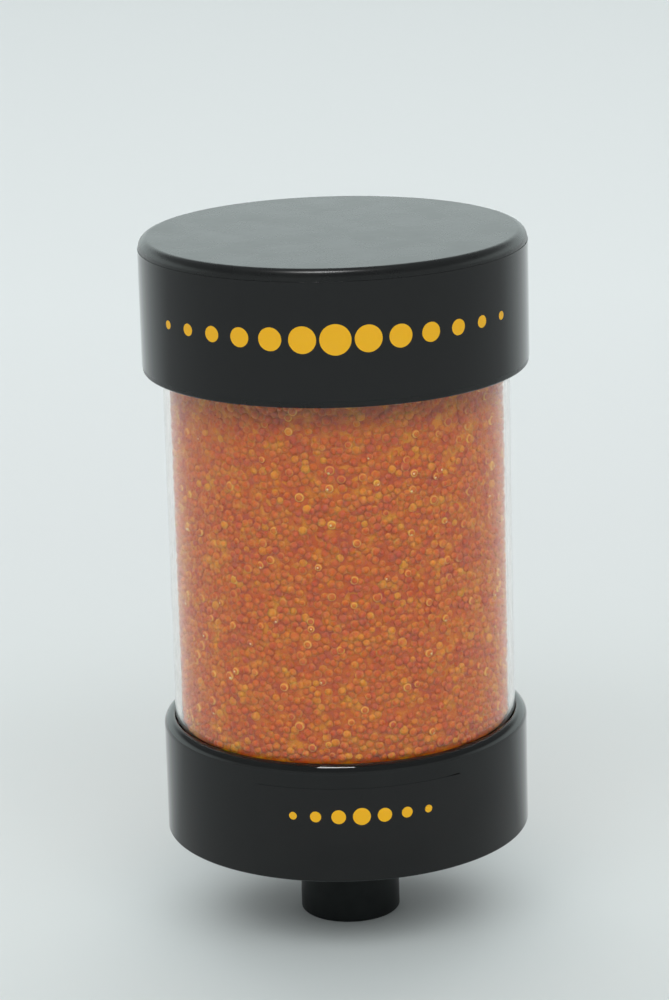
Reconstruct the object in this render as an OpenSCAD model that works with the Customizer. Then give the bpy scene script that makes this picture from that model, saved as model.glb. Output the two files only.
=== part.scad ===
// Silica gel breather: a sealed canister of drying beads that a tank breathes through.
// Outside air is drawn up under the skirt of the hood, over the top of the clear tube,
// down through foam, filter and beads, through a second filter and foam, and out of the stub.
// Frame: origin at the centre of the stub's lower end, +Z up the axis, the front faces -Y.

/* [Port stub] */
// Outside diameter of the stub, 1 inch pipe size
port_od = 33.4; // [32:0.1:36]
// Bore of the stub
port_id = 26.6; // [22:0.1:27.6]
// Length of stub below the base
port_reach = 32; // [25:0.5:60]
// Step from the stub to the spigot that is cemented into the base, at 45 degrees
port_shoulder = 1.2; // [0.8:0.1:1.5]
// Chamfer on the stub's ends
port_chamfer = 0.7; // [0.3:0.1:1]

/* [Base] */
// Height of the base's outer wall
base_h = 39.5; // [37:0.5:58]
// Thickness of the outer wall round the tube
base_wall = 3.7; // [2.5:0.1:6]
// Thickness of the floor
floor_t = 4; // [3:0.5:6]
// Height of the tube groove's bottom above the underside
groove_floor = 8; // [6:0.5:12]
// Thickness of the collar inside the tube
collar_wall = 2.4; // [1.6:0.1:4]
// Depth of the collar's top below the outer rim
collar_drop = 1.5; // [0:0.5:4]
// Height of the socket that holds the stub, above the underside
hub_h = 12; // [9:0.5:14]
// Wall of that socket
hub_wall = 4.5; // [3:0.5:8]
// Number of ribs under the lower grille
base_ribs = 8; // [4:1:12]
// Thickness of those ribs
base_rib_t = 2.2; // [1.5:0.1:4]
// Radius on the rim's outer edge
rim_round = 3; // [0.4:0.1:3.2]
// Radius on the base's other edges
base_round = 0.8; // [0.4:0.1:1.4]

/* [Clear tube] */
// Outside diameter of the tube, 4.5 inch stock
tube_od = 114.3; // [100:0.1:130]
// Wall of the tube
tube_wall = 2; // [1.5:0.1:5]
// Length of the tube
tube_len = 181; // [120:1:300]
// Chamfer on the tube's ends
tube_chamfer = 0.4; // [0.2:0.1:0.6]
// Thickness of the gasket under the tube
gasket_t = 3; // [1.5:0.5:5]

/* [Hood] */
// Height of the hood
hood_h = 44; // [30:1:80]
// Thickness of the skirt
hood_wall = 2.95; // [2:0.05:4]
// Thickness of the top
hood_top_t = 3.2; // [2:0.1:5]
// Width of the air gap between the tube and the skirt
hood_gap = 3.2; // [2:0.1:8]
// Height of the air space between the tube's top and the hood's top
hood_space = 7.3; // [4:0.1:20]
// Radius on the top edge
hood_round = 3.2; // [1:0.1:5]
// Radius on the skirt's lower edge
hood_lip_round = 0.8; // [0.3:0.1:1.2]
// Number of ribs that stand the hood off the tube
hood_ribs = 8; // [4:1:16]
// Thickness of those ribs
hood_rib_t = 2.4; // [1.5:0.1:4]
// Height of the ribs' lower ends above the skirt's lower edge
hood_rib_inset = 6; // [3:0.5:12]
// How far the ribs reach inwards past the tube's wall
hood_rib_reach = 4; // [1:0.5:10]

/* [Filter stacks] */
// Thickness of the perforated grilles
grille_t = 3; // [2:0.5:5]
// Diameter of the grilles' holes
grille_hole = 5; // [3:0.5:6]
// Spacing of the grilles' holes
grille_pitch = 8; // [7:0.5:14]
// Plain border of the grilles
grille_border = 4; // [2:0.5:8]
// Thickness of the foam pads
foam_t = 8; // [5:0.5:10]
// Height of the pleated filters
filter_h = 8; // [6:0.5:10]
// Wall of the rings that hold the pleats
filter_wall = 2.4; // [1.5:0.1:4]
// Spacing of the pleats
pleat_pitch = 5; // [4:0.5:8]
// Thickness of the pleated cloth
pleat_t = 0.6; // [0.4:0.1:0.8]
// Thickness of the screens that keep the beads out of the pleats
screen_t = 0.6; // [0.4:0.1:1.5]
// Height of the split ring that locks the upper stack
ring_h = 3; // [2:0.5:6]
// Width of the split ring
ring_w = 4; // [2:0.5:8]
// Depth of the split ring below the tube's top
ring_inset = 3; // [1:0.5:8]
// Opening of the split ring, in degrees
ring_split = 8; // [3:1:20]

/* [Silica gel] */
// Spacing of the beads that stand out of the bed's wall
bead_pitch = 9; // [7:0.5:15]
// How far those beads stand out
bead_rise = 1.3; // [0.6:0.1:2]

/* [Label films] */
// Thickness of the films
film_t = 0.2; // [0.1:0.05:0.4]
// Distance of the hood film from the end of the top edge's radius
hood_film_top = 0.5; // [0.2:0.1:4]
// Distance of the hood film from the skirt's lower edge
hood_film_low = 2; // [1.5:0.1:8]
// Width of the seam at the back of the hood film, in degrees
hood_film_seam = 0.8; // [0.2:0.1:5]
// Length of the base film round the wall
base_film_w = 70; // [30:1:120]
// Height of the base film
base_film_h = 19; // [8:0.5:24]
// Height of the base film's middle above the underside
base_film_mid = 22.5; // [16:0.5:24]
// Turn of the base film's middle from the front, in degrees
base_film_turn = 4; // [-20:1:20]

/* [Fits] */
// Radial clearance of the tube in the base and between the hood's ribs
slip = 0.15; // [0.05:0.05:0.3]
// Radial clearance of the discs in the collar and in the tube
disc_slip = 0.2; // [0.05:0.05:0.4]
// Radial gap that cement or glue fills
glue = 0.05; // [0.02:0.01:0.1]

/* [Hidden] */
$fn = 96;

// How far a cutting shape runs past the face that it cuts, and a rib into its wall
over = 0.5;
// Least flat that is left on top of the base's outer wall
rim_flat = 0.2;

port_r = port_od / 2;
bore_r = port_id / 2;
spigot_r = port_r - port_shoulder;
socket_r = spigot_r + glue;
hub_r = socket_r + hub_wall;

tube_r = tube_od / 2;
tube_in = tube_r - tube_wall;
groove_r = tube_r + slip;
base_r = groove_r + base_wall;
collar_r = tube_in - slip;
collar_in = collar_r - collar_wall;
hood_in = tube_r + hood_gap;
hood_r = hood_in + hood_wall;
lower_disc_r = collar_in - disc_slip;
upper_disc_r = tube_in - disc_slip;
gel_r = tube_in - glue;

z_base = port_reach;
z_groove = z_base + groove_floor;
z_tube = z_groove + gasket_t;
z_tube_top = z_tube + tube_len;
z_collar = z_base + base_h - collar_drop;

z_lower_screen = z_collar - screen_t;
z_lower_filter = z_lower_screen - filter_h;
z_lower_foam = z_lower_filter - foam_t;
z_lower_grille = z_lower_foam - grille_t;

z_ring = z_tube_top - ring_inset - ring_h;
z_upper_grille = z_ring - grille_t;
z_upper_foam = z_upper_grille - foam_t;
z_upper_filter = z_upper_foam - filter_h;
z_upper_screen = z_upper_filter - screen_t;

z_hood_top = z_tube_top + hood_space + hood_top_t;
z_hood = z_hood_top - hood_h;

moulded_black = [0.07, 0.07, 0.07];
film_black = [0.10, 0.10, 0.10];
pipe_black = [0.09, 0.09, 0.09];
clear_acrylic = [0.88, 0.92, 0.93, 0.35];
gel_orange = [0.80, 0.40, 0.12];
foam_grey = [0.30, 0.31, 0.32];
cloth_white = [0.93, 0.93, 0.90];
frame_white = [0.85, 0.86, 0.86];
rubber_black = [0.05, 0.05, 0.05];

// A ring with square edges, standing on z = 0
module plain_ring(r_out, r_in, h) {
    rotate_extrude()
        translate([r_in, 0])
            square([r_out - r_in, h]);
}

// Flat outline that takes a section's corner down to a radius; out points out of the material
module corner_cut(corner, out, r) {
    translate(corner - r * out)
        mirror([out[0] < 0 ? 1 : 0, 0])
            mirror([0, out[1] < 0 ? 1 : 0])
                difference() {
                    square(r + over);
                    circle(r);
                }
}

// A film that follows a round wall, standing on z = 0 and centred on the direction of mid
module wrapped_film(wall_r, h, span, mid) {
    rotate(mid - span / 2)
        rotate_extrude(angle = span)
            translate([wall_r + glue, 0])
                square([film_t, h]);
}

// A round plate with holes on a triangular grid, standing on z = 0
module grille(r) {
    row = grille_pitch * sqrt(3) / 2;
    n = ceil(r / row);
    linear_extrude(grille_t)
        difference() {
            circle(r);
            for (j = [-n : n])
                for (i = [-2 * n : 2 * n])
                    let (hole = [grille_pitch * (i + (j % 2) / 2), row * j])
                        if (norm(hole) + grille_hole / 2 < r - grille_border)
                            translate(hole)
                                circle(grille_hole / 2);
        }
}

// Cloth folded to and fro inside a round ring, standing on z = 0
module pleats(r) {
    cloth_r = r - filter_wall - glue;
    folds = 2 * ceil(cloth_r / pleat_pitch) + 1;
    slope = atan((filter_h - 2 * glue) / (pleat_pitch / 2));
    rise = pleat_t / cos(slope);
    low = [for (k = [-folds : folds])
               [k * pleat_pitch / 2, glue + (k % 2 == 0 ? 0 : filter_h - 2 * glue - rise)]];
    high = [for (k = [len(low) - 1 : -1 : 0]) low[k] + [0, rise]];
    intersection() {
        rotate([90, 0, 0])
            linear_extrude(2 * r, center = true)
                polygon(concat(low, high));
        cylinder(r = cloth_r, h = filter_h);
    }
}

// Plain pipe stub: its coned shoulder seats in the mouth of the hub's socket, clear of the underside
module port_stub() {
    top = port_reach + hub_h;
    c = port_chamfer;
    color(pipe_black)
        rotate_extrude()
            polygon([[bore_r + c, 0], [port_r - c, 0], [port_r, c], [port_r, port_reach],
                     [spigot_r, port_reach + port_shoulder], [spigot_r, top - c], [spigot_r - c, top],
                     [bore_r, top], [bore_r, c]]);
}

// Section of the base: floor, outer wall, groove for the tube, collar and hub
module base_section() {
    collar_h = base_h - collar_drop;
    rim_r = min(rim_round, base_wall - base_round / 2 - rim_flat);
    difference() {
        translate([socket_r, 0])
            square([base_r - socket_r, base_h]);
        // Countersunk mouth of the socket, parallel to the stub's shoulder
        polygon([[socket_r - over, -over], [socket_r + port_shoulder + over, -over],
                 [socket_r - over, port_shoulder + over]]);
        // Space inside, over the hub and between the hub and the collar
        translate([socket_r - over, hub_h])
            square([collar_in - socket_r + over, base_h]);
        translate([hub_r, floor_t])
            square([collar_in - hub_r, base_h]);
        // Groove for the gasket and the tube, and the space over the collar
        translate([collar_r, groove_floor])
            square([groove_r - collar_r, base_h]);
        translate([collar_in - over, collar_h])
            square([collar_wall + 2 * over, collar_drop + over]);
        corner_cut([base_r, base_h], [1, 1], rim_r);
        corner_cut([groove_r, base_h], [-1, 1], base_round / 2);
        corner_cut([base_r, 0], [1, -1], base_round);
        corner_cut([collar_r, collar_h], [1, 1], base_round);
    }
}

// One rib between the hub and the collar, with its top under the lower grille
module base_rib() {
    top = z_lower_grille - z_base;
    rotate([90, 0, 0])
        linear_extrude(base_rib_t, center = true)
            polygon([[hub_r - over, floor_t - over], [collar_in + over, floor_t - over],
                     [collar_in + over, top], [hub_r + hub_wall, top], [hub_r - over, hub_h - over]]);
}

module base() {
    color(moulded_black)
        translate([0, 0, z_base]) {
            rotate_extrude()
                base_section();
            for (k = [0 : base_ribs - 1])
                rotate((k + 0.5) * 360 / base_ribs)
                    base_rib();
        }
}

module base_film() {
    span = base_film_w / base_r * 180 / PI;
    color(film_black)
        translate([0, 0, z_base + base_film_mid - base_film_h / 2])
            wrapped_film(base_r, base_film_h, span, base_film_turn - 90);
}

module tube_gasket() {
    color(rubber_black)
        translate([0, 0, z_groove])
            plain_ring(groove_r - slip, collar_r + slip, gasket_t);
}

module clear_tube() {
    c = tube_chamfer;
    color(clear_acrylic)
        translate([0, 0, z_tube])
            rotate_extrude()
                polygon([[tube_in, c], [tube_in + c, 0], [tube_r - c, 0], [tube_r, c],
                         [tube_r, tube_len - c], [tube_r - c, tube_len],
                         [tube_in + c, tube_len], [tube_in, tube_len - c]]);
}

module lower_grille() {
    color(moulded_black)
        translate([0, 0, z_lower_grille])
            grille(lower_disc_r);
}

module lower_foam() {
    color(foam_grey)
        translate([0, 0, z_lower_foam])
            cylinder(r = lower_disc_r, h = foam_t);
}

module lower_filter_ring() {
    color(frame_white)
        translate([0, 0, z_lower_filter])
            plain_ring(lower_disc_r, lower_disc_r - filter_wall, filter_h);
}

module lower_filter_pleats() {
    color(cloth_white)
        translate([0, 0, z_lower_filter])
            pleats(lower_disc_r);
}

module lower_screen() {
    color(cloth_white)
        translate([0, 0, z_lower_screen])
            cylinder(r = lower_disc_r, h = screen_t);
}

// The drying beads fill the tube from the collar's top to the upper screen. The wall of the bed is
// a net of triangles, and every third point of the net is the crown of a bead against the tube
module gel_bed() {
    bed_h = z_upper_screen - z_collar;
    rows = round(2 * bed_h / bead_pitch);
    steps = 3 * round(2 * PI * gel_r / (sqrt(3) * bead_pitch));
    function at(i, j) = j * steps + i % steps;
    net = [for (j = [0 : rows], i = [0 : steps - 1])
               let (crown = j > 0 && j < rows && (i + 2 * j) % 3 == 0,
                    r = crown ? gel_r : gel_r - bead_rise,
                    turn = (i + j / 2) * 360 / steps)
                   [r * cos(turn), r * sin(turn), bed_h * j / rows]];
    wall = [for (j = [0 : rows - 1], i = [0 : steps - 1], half = [0, 1])
                half == 0 ? [at(i, j), at(i, j + 1), at(i + 1, j)]
                          : [at(i + 1, j), at(i, j + 1), at(i + 1, j + 1)]];
    ends = [[for (i = [0 : steps - 1]) at(i, 0)], [for (i = [steps - 1 : -1 : 0]) at(i, rows)]];
    color(gel_orange)
        translate([0, 0, z_collar])
            polyhedron(net, concat(wall, ends));
}

module upper_screen() {
    color(cloth_white)
        translate([0, 0, z_upper_screen])
            cylinder(r = upper_disc_r, h = screen_t);
}

module upper_filter_ring() {
    color(frame_white)
        translate([0, 0, z_upper_filter])
            plain_ring(upper_disc_r, upper_disc_r - filter_wall, filter_h);
}

module upper_filter_pleats() {
    color(cloth_white)
        translate([0, 0, z_upper_filter])
            pleats(upper_disc_r);
}

module upper_foam() {
    color(foam_grey)
        translate([0, 0, z_upper_foam])
            cylinder(r = upper_disc_r, h = foam_t);
}

module upper_grille() {
    color(moulded_black)
        translate([0, 0, z_upper_grille])
            grille(upper_disc_r);
}

// Sprung ring, open at the back, that grips the tube's wall
module locking_ring() {
    color(moulded_black)
        translate([0, 0, z_ring])
            rotate(90 + ring_split / 2)
                rotate_extrude(angle = 360 - ring_split)
                    translate([tube_in - glue - ring_w, 0])
                        square([ring_w, ring_h]);
}

// Section of the hood's shell, standing on z = 0
module hood_section() {
    inner_h = hood_h - hood_top_t;
    inner_round = hood_round / 2;
    difference() {
        square([hood_r, hood_h]);
        difference() {
            translate([-over, -over])
                square([hood_in + over, inner_h + over]);
            corner_cut([hood_in, inner_h], [1, 1], inner_round);
        }
        corner_cut([hood_r, hood_h], [1, 1], hood_round);
        corner_cut([hood_r, 0], [1, -1], hood_lip_round);
    }
}

// One rib: its leg bears on the tube's outside and its ledge sits on the tube's top edge
module hood_rib() {
    seat = z_tube_top - z_hood;
    top = hood_h - hood_top_t;
    leg = tube_r + slip;
    ledge = tube_in - hood_rib_reach;
    rotate([90, 0, 0])
        linear_extrude(hood_rib_t, center = true)
            polygon([[hood_in + over, hood_rib_inset], [hood_in + over, top + over],
                     [ledge, top + over], [ledge, seat], [leg, seat],
                     [leg, hood_rib_inset + hood_gap], [hood_in, hood_rib_inset]]);
}

module hood() {
    color(moulded_black)
        translate([0, 0, z_hood]) {
            rotate_extrude()
                hood_section();
            for (k = [0 : hood_ribs - 1])
                rotate((k + 0.5) * 360 / hood_ribs)
                    hood_rib();
        }
}

module hood_film() {
    h = hood_h - hood_round - hood_film_top - hood_film_low;
    color(film_black)
        translate([0, 0, z_hood + hood_film_low])
            wrapped_film(hood_r, h, 360 - hood_film_seam, -90);
}

port_stub();
base();
base_film();
tube_gasket();
clear_tube();
lower_grille();
lower_foam();
lower_filter_ring();
lower_filter_pleats();
lower_screen();
gel_bed();
upper_screen();
upper_filter_ring();
upper_filter_pleats();
upper_foam();
upper_grille();
locking_ring();
hood();
hood_film();
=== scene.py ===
from math import cos, hypot, pi, radians, sin

import bpy
from mathutils import Matrix, Vector


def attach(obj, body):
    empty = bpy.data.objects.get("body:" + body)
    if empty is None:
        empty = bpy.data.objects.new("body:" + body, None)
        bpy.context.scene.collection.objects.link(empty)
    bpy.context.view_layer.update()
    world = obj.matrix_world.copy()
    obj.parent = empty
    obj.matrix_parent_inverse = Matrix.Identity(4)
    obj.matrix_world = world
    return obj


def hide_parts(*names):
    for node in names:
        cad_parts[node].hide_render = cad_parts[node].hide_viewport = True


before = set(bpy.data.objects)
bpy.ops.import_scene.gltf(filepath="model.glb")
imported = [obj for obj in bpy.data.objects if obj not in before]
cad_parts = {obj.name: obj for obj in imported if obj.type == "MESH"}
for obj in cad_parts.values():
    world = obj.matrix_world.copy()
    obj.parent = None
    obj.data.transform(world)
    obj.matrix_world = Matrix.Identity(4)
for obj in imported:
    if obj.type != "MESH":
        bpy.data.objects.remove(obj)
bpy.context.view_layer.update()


# Camera
# A long lens a little above the hood, as for a catalogue. The breather leans a degree and a
# half to the left in the frame.
camera_place = (-0.00169, -1.15248, 0.46065)
camera_pitch = 74.6195
camera_roll = -1.6223
lens_length = 129.727
film_width = 36
view = Matrix.Rotation(radians(camera_pitch), 3, "X") @ Matrix.Rotation(radians(camera_roll), 3, "Z")
bpy.ops.object.camera_add(location=camera_place, rotation=view.to_euler())
camera = bpy.context.object
camera.name = "catalogue_camera"
camera.data.lens = lens_length
camera.data.sensor_width = film_width
bpy.context.scene.camera = camera
bpy.context.scene.view_settings.view_transform = "Standard"


# Studio
# A sweep of pale paper inside a white tent that is lit from the front and the back. The tent
# is darker overhead where it shows as a reflection, and a small softbox hangs above the front.
tent_wall = [(0.0, (0.40, 0.43, 0.43)), (0.35, (0.42, 0.45, 0.45)), (0.55, (0.79, 0.88, 0.87)),
             (1.0, (1.12, 1.27, 1.26))]
tent_roof = (0.20, 0.215, 0.22, 1)
roof_from, roof_full = 0.32, 0.48
tent_cool = (1.0, 1.015, 1.02)
tent_lit_front = [(0.0, 0.0), (0.35, 0.2), (0.5, 1.8), (0.6, 2.9), (0.67, 4.6), (0.76, 4.6), (0.84, 0.6),
                  (1.0, 0.0)]
tent_lit_side = [(0.0, 2.1), (0.3, 0.25), (0.6, 0.45), (0.9, 0.55), (1.0, 0.1)]
tent_lit_back = [(0.0, 2.9), (0.3, 0.45), (0.5, 1.0), (0.75, 3.5), (0.9, 0.35), (1.0, 0.0)]
side_from, side_full = 0.15, 0.35
back_from, back_full = 0.65, 0.85
tent = bpy.data.worlds.new("white_tent")
bpy.context.scene.world = tent
tent.use_nodes = True
tree = tent.node_tree
tree.nodes.clear()


def add_node(tree, kind, **sockets):
    """Adds a node and sets its sockets, whose names have _ for a space."""
    made = tree.nodes.new(kind)
    for name, value in sockets.items():
        made.inputs[name.replace("_", " ")].default_value = value
    return made


def add_sum(tree, kind, *values):
    """Adds a maths node that takes numbers and other nodes' outputs, and gives its output."""
    made = tree.nodes.new("ShaderNodeMath")
    made.operation = kind
    for socket, value in zip(made.inputs, values):
        if isinstance(value, (int, float)):
            socket.default_value = value
        else:
            tree.links.new(value, socket)
    return made.outputs[0]


def add_ramp(tree, stops, value):
    """Adds a colour ramp with (place, colour) stops that follows a value, and gives its colour."""
    ramp = tree.nodes.new("ShaderNodeValToRGB")
    band = ramp.color_ramp
    while len(band.elements) < len(stops):
        band.elements.new(0.5)
    for element, (place, colour) in zip(band.elements, stops):
        element.position = place
        element.color = (*colour, 1)
    tree.links.new(value, ramp.inputs["Fac"])
    return ramp.outputs["Color"]


def add_blend(tree, share, first, second):
    """Adds a colour mix of two outputs, by another output or by a number, and gives its colour."""
    mix = tree.nodes.new("ShaderNodeMix")
    mix.data_type = "RGBA"
    for socket, value in zip((mix.inputs[0], mix.inputs[6], mix.inputs[7]), (share, first, second)):
        if isinstance(value, (int, float, tuple)):
            socket.default_value = value
        else:
            tree.links.new(value, socket)
    return mix.outputs[2]


direction = tree.nodes.new("ShaderNodeTexCoord")
axes = tree.nodes.new("ShaderNodeSeparateXYZ")
tree.links.new(direction.outputs["Generated"], axes.inputs[0])
wall = add_ramp(tree, tent_wall, add_sum(tree, "MULTIPLY_ADD", axes.outputs["Y"], 0.5, 0.5))
overhead = add_node(tree, "ShaderNodeMapRange", From_Min=roof_from, From_Max=roof_full)
tree.links.new(axes.outputs["Z"], overhead.inputs["Value"])
shown = add_blend(tree, overhead.outputs["Result"], wall, tent_roof)
# the share of a half turn from the front, round the tent
turned = add_sum(tree, "DIVIDE", add_sum(tree, "ARCTAN2", add_sum(tree, "ABSOLUTE", axes.outputs["X"]),
                                         add_sum(tree, "MULTIPLY", axes.outputs["Y"], -1.0)), pi)
front_lit, side_lit, back_lit = (
    add_ramp(tree, [(spot, tuple(much * c for c in tent_cool)) for spot, much in stops], axes.outputs["Z"])
    for stops in (tent_lit_front, tent_lit_side, tent_lit_back))
to_side = add_node(tree, "ShaderNodeMapRange", From_Min=side_from, From_Max=side_full)
to_back = add_node(tree, "ShaderNodeMapRange", From_Min=back_from, From_Max=back_full)
tree.links.new(turned, to_side.inputs["Value"])
tree.links.new(turned, to_back.inputs["Value"])
shining = add_blend(tree, to_back.outputs["Result"],
                    add_blend(tree, to_side.outputs["Result"], front_lit, side_lit), back_lit)
rays = tree.nodes.new("ShaderNodeLightPath")
mirrored = add_sum(tree, "GREATER_THAN", add_sum(tree, "SUBTRACT", rays.outputs["Is Glossy Ray"],
                                                 rays.outputs["Is Transmission Ray"]), 0.5)
looked_at = add_sum(tree, "MAXIMUM", rays.outputs["Is Camera Ray"], mirrored)
tent_light = add_node(tree, "ShaderNodeBackground", Strength=1.0)
tent_out = tree.nodes.new("ShaderNodeOutputWorld")
tree.links.new(add_blend(tree, looked_at, shining, shown), tent_light.inputs["Color"])
tree.links.new(tent_light.outputs[0], tent_out.inputs["Surface"])

softbox_place = (-0.09, -0.13, 1.43)
softbox_width, softbox_depth = 0.30, 0.10
softbox_power = 3.6
bpy.ops.object.light_add(type="AREA", location=softbox_place)
softbox = bpy.context.object
softbox.name = "overhead_softbox"
softbox.data.shape = "RECTANGLE"
softbox.data.size, softbox.data.size_y = softbox_width, softbox_depth
softbox.data.energy = softbox_power
softbox.visible_diffuse = False
softbox.visible_camera = False


def new_finish(name):
    """Makes a material, and gives it with its node tree and its shader."""
    finish = bpy.data.materials.new(name)
    finish.use_nodes = True
    return finish, finish.node_tree, finish.node_tree.nodes["Principled BSDF"]


floor_size = 40
floor_front, floor_back = -1.0, 2.4
paper_roughness, paper_gloss = 0.9, 0.1
# the paper's colour as the camera sees it is graded from front to back, a painted fall-off of the tent's light; in
# reflections and bounced light it is darker towards the front, a painted shade
paper_seen_painted_falloff = [(0.27, (0.695, 0.75, 0.745)), (0.36, (0.705, 0.755, 0.75)), (0.43, (0.705, 0.745, 0.745)),
              (0.48, (0.715, 0.755, 0.755)), (0.58, (0.73, 0.775, 0.775)), (1.0, (0.665, 0.71, 0.71))]
paper_mirrored_painted_shade = [(0.0, (0.84, 0.89, 0.89)), (0.2, (0.81, 0.86, 0.86)), (0.30, (0.64, 0.69, 0.69)),
                  (0.38, (0.45, 0.48, 0.48)), (0.55, (0.43, 0.46, 0.46)), (1.0, (0.42, 0.45, 0.45))]
bpy.ops.object.select_all(action="DESELECT")
bpy.ops.mesh.primitive_plane_add(size=floor_size)
floor = bpy.context.object
floor.name = "paper_floor"
paper, tree, shader = new_finish("pale_paper_painted_light")
place = tree.nodes.new("ShaderNodeTexCoord")
axes = tree.nodes.new("ShaderNodeSeparateXYZ")
reach = add_node(tree, "ShaderNodeMapRange", From_Min=floor_front, From_Max=floor_back)
rays = tree.nodes.new("ShaderNodeLightPath")
tree.links.new(place.outputs["Object"], axes.inputs[0])
tree.links.new(axes.outputs["Y"], reach.inputs["Value"])
looked_at = add_sum(tree, "MAXIMUM", rays.outputs["Is Camera Ray"], rays.outputs["Is Transmission Ray"])
# the share of a half turn from the back, round the breather
turned = add_sum(tree, "DIVIDE", add_sum(tree, "ARCTAN2", add_sum(tree, "ABSOLUTE", axes.outputs["X"]),
                                         axes.outputs["Y"]), pi)
# mixes the painted fall-off seen by the camera with the painted shade seen in reflections and bounced light
tree.links.new(add_blend(tree, looked_at, add_ramp(tree, paper_mirrored_painted_shade, turned),
                         add_ramp(tree, paper_seen_painted_falloff, reach.outputs["Result"])), shader.inputs["Base Color"])
shader.inputs["Roughness"].default_value = paper_roughness
shader.inputs["Specular IOR Level"].default_value = paper_gloss
floor.data.materials.append(paper)


# Port stub
# A length of 1 inch plastic pipe, cut square and chamfered. Its turned-down upper end is
# cemented into the base, and its plain lower end plugs into the tank's vent socket.
pipe_r = 16.7
pipe_bore = 13.3
spigot_r = 15.5
pipe_chamfer = 0.7
base_low = 32.0
shoulder_top = 33.2
spigot_top = 44.0
worn_edge = 0.3
mm = 0.001
turn_steps = 240
same_place = 0.02
crease_angle = 35


def draw_section(name, corners, depth=0.0):
    """Draws a line through (radius, height) corners in millimetres, in the plane y = depth."""
    bpy.ops.object.select_all(action="DESELECT")
    bpy.ops.mesh.primitive_plane_add(size=mm, location=(corners[0][0] * mm, depth * mm, corners[0][1] * mm))
    piece = bpy.context.object
    piece.name = piece.data.name = name
    bpy.ops.object.transform_apply(location=True, rotation=False, scale=False)
    bpy.ops.object.mode_set(mode="EDIT")
    bpy.ops.mesh.merge(type="CENTER")
    for (r0, z0), (r1, z1) in zip(corners, corners[1:]):
        bpy.ops.mesh.extrude_vertices_move(
            TRANSFORM_OT_translate={"value": ((r1 - r0) * mm, 0, (z1 - z0) * mm)})
    bpy.ops.mesh.select_all(action="SELECT")
    return piece


def turn_on_axis(name, corners, steps=turn_steps, closed=True, start=0.0, sweep=360.0):
    """Spins a section of (radius, height) corners in millimetres round the axis, from start, in degrees."""
    piece = draw_section(name, corners)
    if closed:
        bpy.ops.mesh.edge_face_add()
        bpy.ops.mesh.delete(type="ONLY_FACE")
        bpy.ops.mesh.select_all(action="SELECT")
    bpy.ops.object.mode_set(mode="OBJECT")
    piece.data.transform(Matrix.Rotation(radians(start), 4, "Z"))
    bpy.ops.object.mode_set(mode="EDIT")
    # spin turns clockwise for a positive angle
    bpy.ops.mesh.spin(steps=steps, angle=radians(-sweep), center=(0, 0, 0), axis=(0, 0, 1))
    bpy.ops.mesh.select_all(action="SELECT")
    bpy.ops.mesh.remove_doubles(threshold=1e-6)
    if closed and sweep < 360:
        bpy.ops.mesh.fill_holes(sides=0)
        bpy.ops.mesh.select_all(action="SELECT")
    bpy.ops.mesh.normals_make_consistent(inside=False)
    bpy.ops.object.mode_set(mode="OBJECT")
    return piece


def round_rings(piece, rings):
    """Rounds the edges that run round the axis at each (radius, height, rounding), in millimetres."""
    for r, z, width in rings:
        mesh = piece.data
        at = [abs(hypot(v.co.x, v.co.y) / mm - r) < same_place and abs(v.co.z / mm - z) < same_place
              for v in mesh.vertices]
        mesh.polygons.foreach_set("select", [False] * len(mesh.polygons))
        mesh.vertices.foreach_set("select", [False] * len(mesh.vertices))
        mesh.edges.foreach_set("select", [at[e.vertices[0]] and at[e.vertices[1]] for e in mesh.edges])
        bpy.ops.object.mode_set(mode="EDIT")
        bpy.ops.mesh.select_mode(type="EDGE")
        bpy.ops.mesh.bevel(offset=width * mm, segments=8 if width > 2 else 4, affect="EDGES")
        bpy.ops.mesh.select_mode(type="VERT")
        bpy.ops.object.mode_set(mode="OBJECT")


def smooth_faces(piece):
    """Shades the curved faces smooth, and keeps the flat ones flat up to their edges."""
    bpy.ops.object.select_all(action="DESELECT")
    piece.select_set(True)
    bpy.context.view_layer.objects.active = piece
    bpy.ops.object.shade_smooth_by_angle(angle=radians(crease_angle))
    weigh = piece.modifiers.new("weigh_normals", "WEIGHTED_NORMAL")
    weigh.keep_sharp = True
    bpy.ops.object.modifier_apply(modifier=weigh.name)


def dress(piece, node, finish):
    """Gives a piece its finish, and lets it ride on the part in its node's place."""
    piece.data.materials.append(finish)
    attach(piece, "root")
    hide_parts(node)


stub = turn_on_axis("pipe_stub", [
    (pipe_bore + pipe_chamfer, 0), (pipe_r - pipe_chamfer, 0), (pipe_r, pipe_chamfer), (pipe_r, base_low),
    (spigot_r, shoulder_top), (spigot_r, spigot_top - pipe_chamfer), (spigot_r - pipe_chamfer, spigot_top),
    (pipe_bore, spigot_top), (pipe_bore, pipe_chamfer)])
round_rings(stub, [(pipe_r, pipe_chamfer, worn_edge), (pipe_r - pipe_chamfer, 0, worn_edge)])
smooth_faces(stub)

pipe_dark, pipe_light = (0.0075, 0.0095, 0.0095), (0.0135, 0.017, 0.017)
pipe_dull_least, pipe_dull_most = 0.30, 0.48
pipe_gloss = 0.28
pipe_black, tree, shader = new_finish("pipe_black")
place = tree.nodes.new("ShaderNodeTexCoord")
stretch = add_node(tree, "ShaderNodeMapping", Scale=(1.0, 1.0, 0.03))
draw_lines = add_node(tree, "ShaderNodeTexNoise", Scale=900.0, Detail=3.0)
scuffs = add_node(tree, "ShaderNodeTexNoise", Scale=160.0, Detail=5.0, Roughness=0.6)
dullness = add_node(tree, "ShaderNodeMapRange", To_Min=pipe_dull_least, To_Max=pipe_dull_most)
relief = add_node(tree, "ShaderNodeBump", Strength=0.12, Distance=0.0002)
tree.links.new(place.outputs["Object"], stretch.inputs["Vector"])
tree.links.new(stretch.outputs[0], draw_lines.inputs["Vector"])
tree.links.new(place.outputs["Object"], scuffs.inputs["Vector"])
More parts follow.
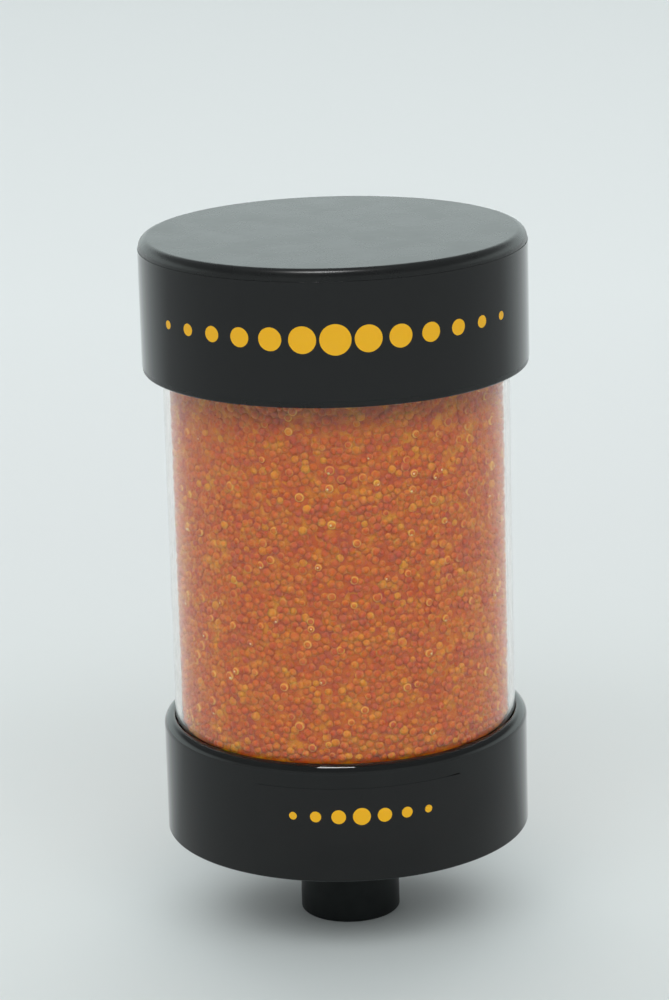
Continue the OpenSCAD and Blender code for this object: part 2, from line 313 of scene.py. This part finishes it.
tree.links.new(scuffs.outputs["Fac"], dullness.inputs["Value"])
tree.links.new(draw_lines.outputs["Fac"], relief.inputs["Height"])
tree.links.new(add_ramp(tree, [(0.3, pipe_dark), (0.7, pipe_light)], scuffs.outputs["Fac"]),
               shader.inputs["Base Color"])
tree.links.new(dullness.outputs["Result"], shader.inputs["Roughness"])
tree.links.new(relief.outputs["Normal"], shader.inputs["Normal"])
shader.inputs["Specular IOR Level"].default_value = pipe_gloss
dress(stub, "port_stub", pipe_black)


# Base
# A moulded black cup with a rounded rim and a groove for the tube. A collar stands up inside
# the tube, and ribs between the hub and the collar carry the lower grille.
base_r = 61.0
rim_top = 71.5
rim_round = 3.0
small_round = 0.8
groove_r, groove_floor = 57.3, 40.0
collar_r, collar_in, collar_top = 55.0, 52.6, 70.0
floor_top = 36.0
hub_r, socket_r = 20.05, 15.55
grille_low = 50.4
rib_sink = 0.5
base_rib_foot = 24.55
base_rib_t, base_rib_count = 2.2, 8


def ring_of_ribs(name, outline, thickness, count):
    """Draws a flat rib as (radius, height) corners in millimetres, thickens it and copies it round the axis."""
    rib = draw_section(name, outline, -thickness / 2)
    bpy.ops.mesh.edge_face_add()
    bpy.ops.mesh.extrude_region_move(TRANSFORM_OT_translate={"value": (0, thickness * mm, 0)})
    bpy.ops.mesh.select_all(action="SELECT")
    bpy.ops.mesh.normals_make_consistent(inside=False)
    bpy.ops.object.mode_set(mode="OBJECT")
    ribs = [rib]
    for _ in range(count - 1):
        turned = rib.copy()
        turned.data = rib.data.copy()
        bpy.context.collection.objects.link(turned)
        ribs.append(turned)
    for k, turned in enumerate(ribs):
        turned.data.transform(Matrix.Rotation((k + 0.5) * 2 * pi / count, 4, "Z"))
    return ribs


def join_into(piece, others):
    """Joins the other objects into the piece."""
    bpy.ops.object.select_all(action="DESELECT")
    for other in others:
        other.select_set(True)
    piece.select_set(True)
    bpy.context.view_layer.objects.active = piece
    bpy.ops.object.join()


base = turn_on_axis("base_cup", [
    (socket_r + shoulder_top - base_low, base_low), (base_r, base_low), (base_r, rim_top), (groove_r, rim_top),
    (groove_r, groove_floor), (collar_r, groove_floor), (collar_r, collar_top), (collar_in, collar_top),
    (collar_in, floor_top), (hub_r, floor_top), (hub_r, spigot_top), (socket_r, spigot_top),
    (socket_r, shoulder_top)])
round_rings(base, [(base_r, base_low, small_round), (base_r, rim_top, rim_round),
                   (groove_r, rim_top, small_round / 2), (collar_r, collar_top, small_round)])
join_into(base, ring_of_ribs("base_rib", [
    (hub_r - rib_sink, floor_top - rib_sink), (collar_in + rib_sink, floor_top - rib_sink),
    (collar_in + rib_sink, grille_low), (base_rib_foot, grille_low), (hub_r - rib_sink, spigot_top - rib_sink)],
    base_rib_t, base_rib_count))
smooth_faces(base)

moulded_dark, moulded_light = (0.0042, 0.0048, 0.005), (0.0082, 0.009, 0.0088)


def moulded_finish(name, least, most, swell):
    """Black moulded plastic: its least and most roughness, and the strength of its slow waves."""
    finish, tree, shader = new_finish(name)
    place = tree.nodes.new("ShaderNodeTexCoord")
    grain = add_node(tree, "ShaderNodeTexNoise", Scale=1400.0, Detail=2.0)
    flow = add_node(tree, "ShaderNodeTexNoise", Scale=70.0, Detail=4.0, Roughness=0.6)
    dullness = add_node(tree, "ShaderNodeMapRange", To_Min=least, To_Max=most)
    waves = add_node(tree, "ShaderNodeBump", Strength=swell, Distance=0.0004)
    relief = add_node(tree, "ShaderNodeBump", Strength=swell / 2, Distance=0.0001)
    tree.links.new(place.outputs["Object"], grain.inputs["Vector"])
    tree.links.new(place.outputs["Object"], flow.inputs["Vector"])
    tree.links.new(flow.outputs["Fac"], dullness.inputs["Value"])
    tree.links.new(flow.outputs["Fac"], waves.inputs["Height"])
    tree.links.new(grain.outputs["Fac"], relief.inputs["Height"])
    tree.links.new(waves.outputs["Normal"], relief.inputs["Normal"])
    tree.links.new(add_ramp(tree, [(0.3, moulded_dark), (0.7, moulded_light)], flow.outputs["Fac"]),
                   shader.inputs["Base Color"])
    tree.links.new(dullness.outputs["Result"], shader.inputs["Roughness"])
    tree.links.new(relief.outputs["Normal"], shader.inputs["Normal"])
    return finish


dress(base, "base", moulded_finish("polished_black", least=0.02, most=0.05, swell=0.02))


# Base film
# A small rectangle of glossy black film, stuck to the front of the base by hand, so that two
# of its corners have lifted a little. It carries a short row of yellow dots.
film_dark, film_light = (0.0052, 0.0055, 0.0057), (0.010, 0.0105, 0.0106)
print_yellow = (0.98, 0.51, 0.011, 1)
film_t = 0.2
base_film_t = 0.1
film_stand = 0.02
base_film_length, base_film_low, base_film_high = 70.0, 45.0, 64.0
base_film_turn = 4.0
base_film_rows, base_film_steps = 16, 64
lift_reach = 7.0


def film_finish(name, turn, wall_r, row_z, reach, pitch, big, small):
    """Glossy black film, with a row of printed dots that grow towards the middle, in millimetres."""
    finish, tree, shader = new_finish(name)
    place = tree.nodes.new("ShaderNodeTexCoord")
    axes = tree.nodes.new("ShaderNodeSeparateXYZ")
    tree.links.new(place.outputs["Object"], axes.inputs[0])
    round_wall = add_sum(tree, "ARCTAN2", axes.outputs["X"], add_sum(tree, "MULTIPLY", axes.outputs["Y"], -1.0))
    along = add_sum(tree, "MULTIPLY", add_sum(tree, "SUBTRACT", round_wall, radians(turn)), wall_r)
    number = add_sum(tree, "ROUND", add_sum(tree, "DIVIDE", along, pitch))
    number = add_sum(tree, "MINIMUM", add_sum(tree, "MAXIMUM", number, -reach), reach)
    aside = add_sum(tree, "SUBTRACT", along, add_sum(tree, "MULTIPLY", number, pitch))
    above = add_sum(tree, "ABSOLUTE", add_sum(tree, "MULTIPLY_ADD", axes.outputs["Z"], 1 / mm, -row_z))
    away = add_sum(tree, "SQRT", add_sum(tree, "ADD", add_sum(tree, "MULTIPLY", aside, aside),
                                         add_sum(tree, "MULTIPLY", above, above)))
    radius = add_sum(tree, "MULTIPLY_ADD", add_sum(tree, "ABSOLUTE", number), (small - big) / reach, big)
    inside = add_sum(tree, "LESS_THAN", away, radius)
    ripple = add_node(tree, "ShaderNodeTexNoise", Scale=42.0, Detail=2.0)
    dust = add_node(tree, "ShaderNodeTexNoise", Scale=700.0, Detail=4.0, Roughness=0.7)
    gloss = add_node(tree, "ShaderNodeMapRange", To_Min=0.05, To_Max=0.12)
    relief = add_node(tree, "ShaderNodeBump", Strength=0.08, Distance=0.0005)
    tree.links.new(place.outputs["Object"], ripple.inputs["Vector"])
    tree.links.new(place.outputs["Object"], dust.inputs["Vector"])
    shade = add_ramp(tree, [(0.3, film_dark), (0.75, film_light)], dust.outputs["Fac"])
    tree.links.new(add_blend(tree, inside, shade, print_yellow), shader.inputs["Base Color"])
    tree.links.new(dust.outputs["Fac"], gloss.inputs["Value"])
    tree.links.new(gloss.outputs["Result"], shader.inputs["Roughness"])
    tree.links.new(ripple.outputs["Fac"], relief.inputs["Height"])
    tree.links.new(relief.outputs["Normal"], shader.inputs["Normal"])
    return finish


film_span = base_film_length / base_r * 180 / pi
film_start = base_film_turn - 90 - film_span / 2
film_height = base_film_high - base_film_low
base_film = turn_on_axis(
    "base_film_sheet",
    [(base_r + film_stand, base_film_low + film_height * k / base_film_rows) for k in range(base_film_rows + 1)],
    steps=base_film_steps, closed=False, start=film_start, sweep=film_span)
for turn, z, lift in ((film_start, base_film_low, 0.45), (film_start + film_span, base_film_high, 0.35)):
    out = Vector((cos(radians(turn)), sin(radians(turn)), 0))
    corner = out * (base_r + film_stand) * mm + Vector((0, 0, z * mm))
    bpy.ops.object.mode_set(mode="EDIT")
    bpy.ops.mesh.select_all(action="DESELECT")
    bpy.ops.object.mode_set(mode="OBJECT")
    min(base_film.data.vertices, key=lambda v: (v.co - corner).length).select = True
    bpy.ops.object.mode_set(mode="EDIT")
    bpy.ops.transform.translate(value=out * lift * mm, use_proportional_edit=True,
                                proportional_edit_falloff="SMOOTH", proportional_size=lift_reach * mm)
    bpy.ops.object.mode_set(mode="OBJECT")
thicken = base_film.modifiers.new("thicken", "SOLIDIFY")
thicken.thickness = base_film_t * mm
thicken.offset = 1.0
bpy.ops.object.modifier_apply(modifier=thicken.name)
smooth_faces(base_film)
dress(base_film, "base_film",
      film_finish("base_film_print", turn=base_film_turn, wall_r=base_r + base_film_t,
                  row_z=(base_film_low + base_film_high) / 2, reach=3, pitch=7.5, big=2.9, small=1.3))


# Gasket
# A moulded rubber ring that lies at the bottom of the base's groove, under the tube.
# The tube presses it flat; it has a fine matt grain.
rubber_dark, rubber_light = (0.012, 0.012, 0.012), (0.024, 0.024, 0.024)


def grained_finish(name, dark, light, scale, dull, depth, cells=False):
    """A plain finish with a grain: two colours, the grain's scale, its roughness and its depth in metres."""
    finish, tree, shader = new_finish(name)
    place = tree.nodes.new("ShaderNodeTexCoord")
    kind = "ShaderNodeTexVoronoi" if cells else "ShaderNodeTexNoise"
    grain = add_node(tree, kind, Scale=scale, Detail=3.0)
    wear = add_node(tree, "ShaderNodeMapRange", To_Min=dull - 0.08, To_Max=dull + 0.08)
    relief = add_node(tree, "ShaderNodeBump", Strength=0.5, Distance=depth)
    value = grain.outputs["Distance" if cells else "Fac"]
    tree.links.new(place.outputs["Object"], grain.inputs["Vector"])
    tree.links.new(value, wear.inputs["Value"])
    tree.links.new(value, relief.inputs["Height"])
    tree.links.new(add_ramp(tree, [(0.25, dark), (0.75, light)], value), shader.inputs["Base Color"])
    tree.links.new(wear.outputs["Result"], shader.inputs["Roughness"])
    tree.links.new(relief.outputs["Normal"], shader.inputs["Normal"])
    return finish


seal_rubber = grained_finish("seal_rubber", rubber_dark, rubber_light, 1200.0, 0.7, 0.0001)
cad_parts["tube_gasket"].material_slots[0].material = seal_rubber


# Filter stacks
# Over the base's ribs and again over the beads: a perforated plate, a foam pad, a pleated
# filter cemented in its ring, and a woven screen that keeps the beads out of the pleats.
grille_dark, grille_light = (0.022, 0.022, 0.022), (0.038, 0.038, 0.038)
foam_dark, foam_light = (0.03, 0.03, 0.032), (0.13, 0.13, 0.135)
ring_dark, ring_light = (0.64, 0.65, 0.65), (0.72, 0.73, 0.73)
pleat_dark, pleat_light = (0.66, 0.66, 0.62), (0.82, 0.82, 0.78)
screen_dark, screen_light = (0.35, 0.35, 0.33), (0.80, 0.80, 0.76)


def woven_finish(name, dark, light, threads):
    """Cloth of crossing threads, with so many to the metre."""
    finish, tree, shader = new_finish(name)
    place = tree.nodes.new("ShaderNodeTexCoord")
    warp = add_node(tree, "ShaderNodeTexWave", Scale=threads, Distortion=0.6)
    weft = add_node(tree, "ShaderNodeTexWave", Scale=threads, Distortion=0.6)
    weft.bands_direction = "Y"
    relief = add_node(tree, "ShaderNodeBump", Strength=0.6, Distance=0.0001)
    tree.links.new(place.outputs["Object"], warp.inputs["Vector"])
    tree.links.new(place.outputs["Object"], weft.inputs["Vector"])
    cross = add_sum(tree, "MAXIMUM", warp.outputs["Fac"], weft.outputs["Fac"])
    tree.links.new(cross, relief.inputs["Height"])
    tree.links.new(add_ramp(tree, [(0.2, dark), (0.8, light)], cross), shader.inputs["Base Color"])
    tree.links.new(relief.outputs["Normal"], shader.inputs["Normal"])
    shader.inputs["Roughness"].default_value = 0.85
    return finish


grille_black = grained_finish("grille_black", grille_dark, grille_light, 900.0, 0.45, 0.00008)
foam_grey = grained_finish("foam_grey", foam_dark, foam_light, 900.0, 0.85, 0.0006, cells=True)
ring_white = grained_finish("ring_white", ring_dark, ring_light, 500.0, 0.4, 0.00005)
pleat_cloth = woven_finish("pleat_cloth", pleat_dark, pleat_light, 900.0)
screen_cloth = woven_finish("screen_cloth", screen_dark, screen_light, 450.0)
for stack in ("lower", "upper"):
    for part, finish in (("grille", grille_black), ("foam", foam_grey), ("filter_ring", ring_white),
                         ("filter_pleats", pleat_cloth), ("screen", screen_cloth)):
        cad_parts[f"{stack}_{part}"].material_slots[0].material = finish


# Clear tube
# Acrylic tube, cut from 4.5 inch stock and chamfered at both ends. It stands on a gasket in
# the base's groove, and its wall shows as a pale band at both sides of the beads.
tube_r, tube_in = 57.15, 55.15
tube_low, tube_top = 43.0, 224.0
tube_chamfer = 0.4
acrylic_ior = 1.49
acrylic_tint = (0.99, 0.945, 0.92, 1)
most_haze = 0.04
tube = turn_on_axis("acrylic_tube", [
    (tube_in, tube_low + tube_chamfer), (tube_in + tube_chamfer, tube_low), (tube_r - tube_chamfer, tube_low),
    (tube_r, tube_low + tube_chamfer), (tube_r, tube_top - tube_chamfer), (tube_r - tube_chamfer, tube_top),
    (tube_in + tube_chamfer, tube_top), (tube_in, tube_top - tube_chamfer)])
smooth_faces(tube)
# Light for the beads passes straight through the wall, as most of it does in real acrylic
tube.visible_diffuse = False
tube.visible_shadow = False

clear_acrylic, tree, shader = new_finish("clear_acrylic")
shader.inputs["Transmission Weight"].default_value = 1.0
shader.inputs["IOR"].default_value = acrylic_ior
shader.inputs["Base Color"].default_value = acrylic_tint
place = tree.nodes.new("ShaderNodeTexCoord")
handling = add_node(tree, "ShaderNodeTexNoise", Scale=35.0, Detail=6.0, Roughness=0.65)
haze = add_node(tree, "ShaderNodeMapRange", From_Min=0.45, From_Max=0.85, To_Min=0.0, To_Max=most_haze)
tree.links.new(place.outputs["Object"], handling.inputs["Vector"])
tree.links.new(handling.outputs["Fac"], haze.inputs["Value"])
tree.links.new(haze.outputs["Result"], shader.inputs["Roughness"])
dress(tube, "clear_tube", clear_acrylic)


# Silica gel
# Loose orange beads, 2.2 to 3.8 mm across, that fill the tube from the collar to the upper
# screen. Most are cloudy; a few that lie against the tube are clear. Each bead carries a painted
# highlight ring, bold on the clear beads, faint on the cloudy ones and stronger at its lower
# side, and some clear beads carry a painted glint.
bead_r = 1.6
bead_least, bead_most = 0.7, 1.2
bead_apart = 1.9
bead_slack, clear_slack = 0.7, 0.15
bead_tries = 900000
bead_wall_r = 55.08
bead_bands = [(71.6, 113.4), (113.4, 155.2), (155.2, 196.8)]
clear_share = 0.06
golden_from, golden_lift = 0.95, 0.14
drift_share, tint_share, mood_level = 1.1, 0.14, -0.12
heart_r, heart_low, heart_high = 53.7, 70.2, 198.2
gel_hues = [(0.30, (0.55, 0.095, 0.030)), (0.42, (0.635, 0.112, 0.008)), (0.50, (0.675, 0.141, 0.002)),
            (0.58, (0.70, 0.185, 0.002)), (0.70, (0.80, 0.296, 0.004))]
# a painted highlight ring round each bead, stronger towards the bead's lower side
painted_ring_highlight = (1.0, 0.64, 0.12, 1)
painted_ring_shape = [(0.54, 0.0), (0.70, 1.0), (0.77, 0.8), (0.88, 0.0)]
painted_ring_by_tint, painted_ring_lift_below, cloudy_painted_ring_share = 0.75, 0.3, 0.25
# a painted glint, a small pale spot on some of the clear beads
painted_glint_colour = (1.0, 0.76, 0.42, 1)
painted_glint_reach, painted_glint_from = 0.22, 0.78
glow_depth = 0.0014
cell_scale = 330.0


def gel_finish(name, kind):
    """Bead material: each bead has its own tint, and the bed drifts between mauve and gold."""
    finish, tree, shader = new_finish(name)
    place = tree.nodes.new("ShaderNodeTexCoord")
    drift = add_node(tree, "ShaderNodeTexNoise", Scale=190.0, Detail=4.0, Roughness=0.65)
    tree.links.new(place.outputs["Object"], drift.inputs["Vector"])
    if kind == "heart":
        cells = add_node(tree, "ShaderNodeTexVoronoi", Scale=cell_scale)
        parts = tree.nodes.new("ShaderNodeSeparateColor")
        relief = add_node(tree, "ShaderNodeBump", Strength=0.25, Distance=0.0006)
        relief.invert = True
        tree.links.new(place.outputs["Object"], cells.inputs["Vector"])
        tree.links.new(cells.outputs["Color"], parts.inputs[0])
        tree.links.new(cells.outputs["Distance"], relief.inputs["Height"])
        tree.links.new(relief.outputs["Normal"], shader.inputs["Normal"])
        tint = parts.outputs["Red"]
    else:
        kept = tree.nodes.new("ShaderNodeAttribute")
        kept.attribute_name = "tint"
        tint = kept.outputs["Fac"]
    mood = add_sum(tree, "MULTIPLY_ADD", drift.outputs["Fac"], drift_share,
                   add_sum(tree, "MULTIPLY_ADD", tint, tint_share, mood_level))
    mood = add_sum(tree, "MULTIPLY_ADD", add_sum(tree, "GREATER_THAN", tint, golden_from), golden_lift, mood)
    hue = add_ramp(tree, gel_hues, mood)
    shader.inputs["Subsurface Weight"].default_value = 1.0
    shader.inputs["Subsurface Radius"].default_value = (1.0, 0.45, 0.25)
    shader.inputs["Subsurface Scale"].default_value = glow_depth
    shader.inputs["Roughness"].default_value = 0.5
    shader.inputs["Specular IOR Level"].default_value = 0.1
    if kind != "heart":
        own = tree.nodes.new("ShaderNodeAttribute")
        own.attribute_name = "own_place"
        axes = tree.nodes.new("ShaderNodeSeparateXYZ")
        tree.links.new(own.outputs["Vector"], axes.inputs[0])

        def away_from(x, y):
            across = add_sum(tree, "SUBTRACT", axes.outputs["X"], x)
            up = add_sum(tree, "SUBTRACT", axes.outputs["Y"], y)
            return add_sum(tree, "SQRT", add_sum(tree, "ADD", add_sum(tree, "MULTIPLY", across, across),
                                                 add_sum(tree, "MULTIPLY", up, up)))

        # paints a pale highlight ring on each bead, faint on the cloudy ones and stronger at the lower side
        ring = add_ramp(tree, [(spot, (much, much, much)) for spot, much in painted_ring_shape], away_from(0.0, 0.0))
        painted_ring_below = add_sum(tree, "MULTIPLY_ADD", axes.outputs["Y"], -painted_ring_lift_below, painted_ring_lift_below)
        strength = add_sum(tree, "MULTIPLY_ADD", tint, painted_ring_by_tint, painted_ring_below)
        if kind == "cloudy":
            strength = add_sum(tree, "MULTIPLY", strength, cloudy_painted_ring_share)
        hue = add_blend(tree, add_sum(tree, "MULTIPLY", ring, strength), hue, painted_ring_highlight)
    if kind == "clear":
        # paints a pale glint spot on some of the clear beads
        turn = add_sum(tree, "MULTIPLY", tint, 50.0)
        spot = away_from(add_sum(tree, "MULTIPLY", add_sum(tree, "COSINE", turn), 0.4),
                         add_sum(tree, "MULTIPLY_ADD", add_sum(tree, "SINE", turn), 0.25, -0.2))
        lot = add_sum(tree, "FRACT", add_sum(tree, "MULTIPLY", tint, 13.0))
        some = add_sum(tree, "GREATER_THAN", lot, painted_glint_from)
        painted_glint_mask = add_sum(tree, "MULTIPLY", add_sum(tree, "LESS_THAN", spot, painted_glint_reach), some)
        hue = add_blend(tree, painted_glint_mask, hue, painted_glint_colour)
        shader.inputs["Subsurface Scale"].default_value = glow_depth / 8
    tree.links.new(hue, shader.inputs["Base Color"])
    return finish


def spread_beads(name, bead, low, high, seed, share, clear):
    """Spreads copies of the bead over the tube's wall, kept apart, and makes them one mesh."""
    bpy.ops.object.select_all(action="DESELECT")
    bpy.ops.mesh.primitive_cylinder_add(vertices=96, radius=bead_wall_r * mm, depth=(high - low) * mm,
                                        end_fill_type="NOTHING", location=(0, 0, (low + high) / 2 * mm))
    layer = bpy.context.object
    layer.name = layer.data.name = name
    bpy.ops.object.transform_apply(location=True, rotation=False, scale=False)
    tree = bpy.data.node_groups.new(name + "_spread", "GeometryNodeTree")
    tree.interface.new_socket("Geometry", in_out="INPUT", socket_type="NodeSocketGeometry")
    tree.interface.new_socket("Geometry", in_out="OUTPUT", socket_type="NodeSocketGeometry")
    wall = tree.nodes.new("NodeGroupInput")
    heap = tree.nodes.new("NodeGroupOutput")
    scatter = tree.nodes.new("GeometryNodeDistributePointsOnFaces")
    scatter.distribute_method = "POISSON"
    scatter.inputs["Distance Min"].default_value = bead_apart * mm
    scatter.inputs["Density Max"].default_value = bead_tries
    scatter.inputs["Seed"].default_value = seed

    def chance(least, most, offset):
        made = tree.nodes.new("FunctionNodeRandomValue")
        made.data_type = "FLOAT"
        made.inputs[2].default_value = least
        made.inputs[3].default_value = most
        made.inputs["Seed"].default_value = seed + offset
        return made.outputs[1]

    slack = chance(0.0, (clear_slack if clear else bead_slack) * mm, 1)
    size = chance(bead_least, bead_most, 2)
    tint = chance(0.0, 1.0, 3)
    pick = chance(0.0, 1.0, 4)
    chosen = tree.nodes.new("FunctionNodeCompare")
    chosen.operation = "LESS_EQUAL" if clear else "GREATER_THAN"
    chosen.inputs[1].default_value = share
    inwards = tree.nodes.new("ShaderNodeMath")
    inwards.operation = "MULTIPLY"
    inwards.inputs[1].default_value = -bead_r * mm
    back = tree.nodes.new("ShaderNodeMath")
    back.operation = "SUBTRACT"
    push = tree.nodes.new("ShaderNodeVectorMath")
    push.operation = "SCALE"
    settle = tree.nodes.new("GeometryNodeSetPosition")
    face_out = tree.nodes.new("FunctionNodeAlignRotationToVector")
    face_out.axis = "Z"
    stand_up = tree.nodes.new("FunctionNodeAlignRotationToVector")
    stand_up.axis = "Y"
    stand_up.pivot_axis = "Z"
    stand_up.inputs["Vector"].default_value = (0, 0, 1)
    mould = tree.nodes.new("GeometryNodeObjectInfo")
    mould.inputs["Object"].default_value = bead
    copies = tree.nodes.new("GeometryNodeInstanceOnPoints")
    keep_tint = tree.nodes.new("GeometryNodeStoreNamedAttribute")
    keep_tint.data_type = "FLOAT"
    keep_tint.domain = "INSTANCE"
    keep_tint.inputs["Name"].default_value = "tint"
    make_real = tree.nodes.new("GeometryNodeRealizeInstances")
    join = tree.links.new
    join(wall.outputs[0], scatter.inputs["Mesh"])
    join(scatter.outputs["Points"], settle.inputs["Geometry"])
    join(scatter.outputs["Normal"], push.inputs[0])
    join(size, inwards.inputs[0])
    join(inwards.outputs[0], back.inputs[0])
    join(slack, back.inputs[1])
    join(back.outputs[0], push.inputs["Scale"])
    join(push.outputs[0], settle.inputs["Offset"])
    join(settle.outputs["Geometry"], copies.inputs["Points"])
    join(pick, chosen.inputs[0])
    join(chosen.outputs[0], copies.inputs["Selection"])
    join(mould.outputs["Geometry"], copies.inputs["Instance"])
    join(scatter.outputs["Normal"], face_out.inputs["Vector"])
    join(face_out.outputs[0], stand_up.inputs["Rotation"])
    join(stand_up.outputs[0], copies.inputs["Rotation"])
    join(size, copies.inputs["Scale"])
    join(copies.outputs["Instances"], keep_tint.inputs["Geometry"])
    join(tint, keep_tint.inputs["Value"])
    join(keep_tint.outputs["Geometry"], make_real.inputs["Geometry"])
    join(make_real.outputs["Geometry"], heap.inputs[0])
    spread = layer.modifiers.new("spread", "NODES")
    spread.node_group = tree
    bpy.ops.object.modifier_apply(modifier=spread.name)
    return layer


def mould_bead(name, cuts, finish):
    """One bead: a cube, cut and pulled into a ball. Each point keeps its own place, in bead radii."""
    bpy.ops.object.select_all(action="DESELECT")
    bpy.ops.mesh.primitive_cube_add(size=2 * bead_r * mm)
    bead = bpy.context.object
    bead.name = bead.data.name = name
    bpy.ops.object.mode_set(mode="EDIT")
    bpy.ops.mesh.subdivide(number_cuts=cuts)
    bpy.ops.transform.tosphere(value=1)
    bpy.ops.object.mode_set(mode="OBJECT")
    bead.data.transform(Matrix.Scale(bead_r * mm / bead.data.vertices[0].co.length, 4))
    bpy.ops.object.shade_smooth()
    own = bead.data.attributes.new("own_place", "FLOAT_VECTOR", "POINT")
    for kept, v in zip(own.data, bead.data.vertices):
        kept.vector = v.co / (bead_r * mm)
    bead.data.materials.append(finish)
    return bead


cloudy_gel = gel_finish("cloudy_gel", "cloudy")
clear_gel = gel_finish("clear_gel", "clear")
cloudy_bead = mould_bead("cloudy_bead", 1, cloudy_gel)
clear_bead = mould_bead("clear_bead", 2, clear_gel)
gel_heart = turn_on_axis("gel_heart", [(0, heart_low), (heart_r, heart_low), (heart_r, heart_high), (0, heart_high)],
                         closed=False)
smooth_faces(gel_heart)
gel_heart.data.materials.append(gel_finish("packed_gel", "heart"))
gel_pieces = [gel_heart]
for band, (low, high) in enumerate(bead_bands):
    gel_pieces.append(spread_beads(f"cloudy_beads_{band}", cloudy_bead, low, high, 11 + band, clear_share, False))
    gel_pieces.append(spread_beads(f"clear_beads_{band}", clear_bead, low, high, 11 + band, clear_share, True))
for mould in (cloudy_bead, clear_bead):
    bpy.data.objects.remove(mould)
for heap in gel_pieces:
    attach(heap, "root")
    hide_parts("gel_bed")


# Locking ring
# A sprung split ring of black plastic, open at the back, that grips the tube's wall and
# holds the upper stack down on the beads.
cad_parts["locking_ring"].material_slots[0].material = grille_black


# Hood
# A moulded black cap with a rounded top edge. Eight ribs inside stand it off the tube, so
# that air is drawn up between its skirt and the tube.
hood_r, hood_in = 63.3, 60.35
hood_low, hood_top, hood_roof = 190.5, 234.5, 231.3
hood_round, roof_round = 3.2, 1.6
hood_rib_low, hood_rib_slope = 196.5, 199.7
hood_rib_ledge = 51.15
hood_rib_t, hood_rib_count = 2.4, 8
hood = turn_on_axis("hood_cap", [(0, hood_top), (hood_r, hood_top), (hood_r, hood_low), (hood_in, hood_low),
                                 (hood_in, hood_roof), (0, hood_roof)], closed=False)
round_rings(hood, [(hood_r, hood_top, hood_round), (hood_r, hood_low, small_round), (hood_in, hood_roof, roof_round)])
join_into(hood, ring_of_ribs("hood_rib", [
    (hood_in + rib_sink, hood_rib_low), (hood_in + rib_sink, hood_roof + rib_sink),
    (hood_rib_ledge, hood_roof + rib_sink), (hood_rib_ledge, tube_top), (groove_r, tube_top),
    (groove_r, hood_rib_slope), (hood_in, hood_rib_low)], hood_rib_t, hood_rib_count))
smooth_faces(hood)
dress(hood, "hood", moulded_finish("satin_black", least=0.24, most=0.31, swell=0.10))


# Hood film
# A band of the same glossy film, wrapped round the hood between its rounded edges and butted
# at the back. Its cut edges catch the light, and it carries a long row of yellow dots.
hood_film_low, hood_film_high = 192.5, 230.8
hood_film_stand = 0.05
seam = 0.8
cut_edge = 0.06
film_in = hood_r + hood_film_stand
film_out = film_in + film_t
hood_film = turn_on_axis("hood_film_band", [(film_in, hood_film_low), (film_out, hood_film_low),
                                            (film_out, hood_film_high), (film_in, hood_film_high)],
                         start=90 + seam / 2, sweep=360 - seam)
round_rings(hood_film, [(film_out, hood_film_low, cut_edge), (film_out, hood_film_high, cut_edge)])
smooth_faces(hood_film)
dress(hood_film, "hood_film",
      film_finish("hood_film_print", turn=0, wall_r=film_out, row_z=212.5, reach=6, pitch=10.4, big=5.0, small=1.4))
